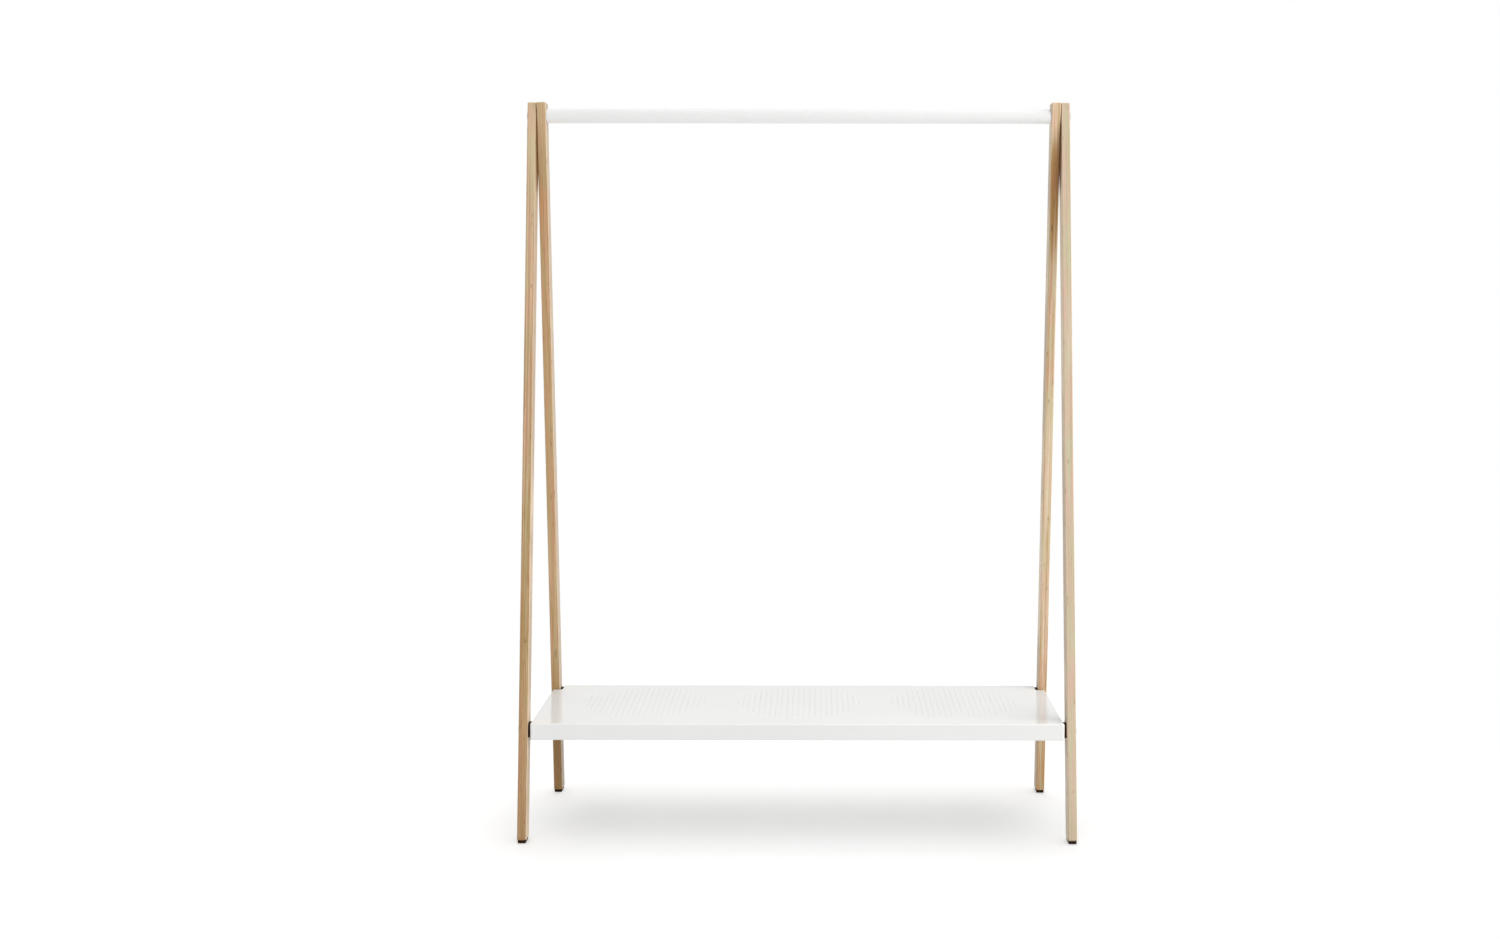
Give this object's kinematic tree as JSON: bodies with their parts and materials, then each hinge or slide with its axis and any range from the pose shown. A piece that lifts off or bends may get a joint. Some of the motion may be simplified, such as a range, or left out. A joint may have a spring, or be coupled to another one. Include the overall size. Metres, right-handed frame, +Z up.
{
  "type": "clothes rack",
  "caption": "Free-standing clothes rack with crossed plywood legs, a white steel hanging rail and a lift-off white steel shelf; its rear legs fold to the front ones.",
  "frame": {"origin": "on the floor, under the middle of the hanging rail", "axes": "+X along the hanging rail to the right, +Y to the back, +Z up; the front of the rack faces -Y"},
  "size_m": [1.204, 0.414, 1.6],
  "materials": {
    "leg_wood": "clear matt lacquer over light plywood",
    "white_lacquer": "smooth semi-gloss white lacquer",
    "dark_rubber": "matt",
    "plated_steel": "satin zinc plate"
  },
  "bodies": {
    "front_frame": {"left_front_leg": "leg_wood", "right_front_leg": "leg_wood", "hanging_rail": "white_lacquer", "left_rail_plug": "plated_steel", "right_rail_plug": "plated_steel", "left_pivot_bolt": "plated_steel", "right_pivot_bolt": "plated_steel", "left_leg_washer": "dark_rubber", "right_leg_washer": "dark_rubber", "left_rail_washer": "dark_rubber", "right_rail_washer": "dark_rubber", "left_front_foot": "dark_rubber", "right_front_foot": "dark_rubber", "left_front_shelf_bolt": "plated_steel", "right_front_shelf_bolt": "plated_steel", "left_front_shelf_stud": "plated_steel", "right_front_shelf_stud": "plated_steel", "left_front_shelf_pad": "dark_rubber", "right_front_shelf_pad": "dark_rubber"},
    "left_rear_leg": {"left_rear_leg": "leg_wood", "left_rear_foot": "dark_rubber", "left_rear_shelf_bolt": "plated_steel", "left_rear_shelf_stud": "plated_steel", "left_rear_shelf_pad": "dark_rubber"},
    "right_rear_leg": {"right_rear_leg": "leg_wood", "right_rear_foot": "dark_rubber", "right_rear_shelf_bolt": "plated_steel", "right_rear_shelf_stud": "plated_steel", "right_rear_shelf_pad": "dark_rubber"},
    "shelf": {"shelf": "white_lacquer"}
  },
  "joints": [
    {"name": "shelf_lift_off", "type": "slide", "parent": "front_frame", "child": "shelf", "axis": [0, -0.7071, 0.7071], "range_m": [0, 0.65]},
    {"name": "left_rear_leg_fold", "type": "hinge", "parent": "front_frame", "child": "left_rear_leg", "pos_m": [-0.5695, 0, 1.571], "axis": [1, 0, 0], "range_deg": [-12, 0]},
    {"name": "right_rear_leg_fold", "type": "hinge", "parent": "front_frame", "child": "right_rear_leg", "pos_m": [0.5695, 0, 1.571], "axis": [1, 0, 0], "range_deg": [-12, 0]}
  ],
  "couplings": [
    {"joint": "left_rear_leg_fold", "follows": "shelf_lift_off", "rad_per_m": -0.32},
    {"joint": "right_rear_leg_fold", "follows": "shelf_lift_off", "rad_per_m": -0.32}
  ]
}
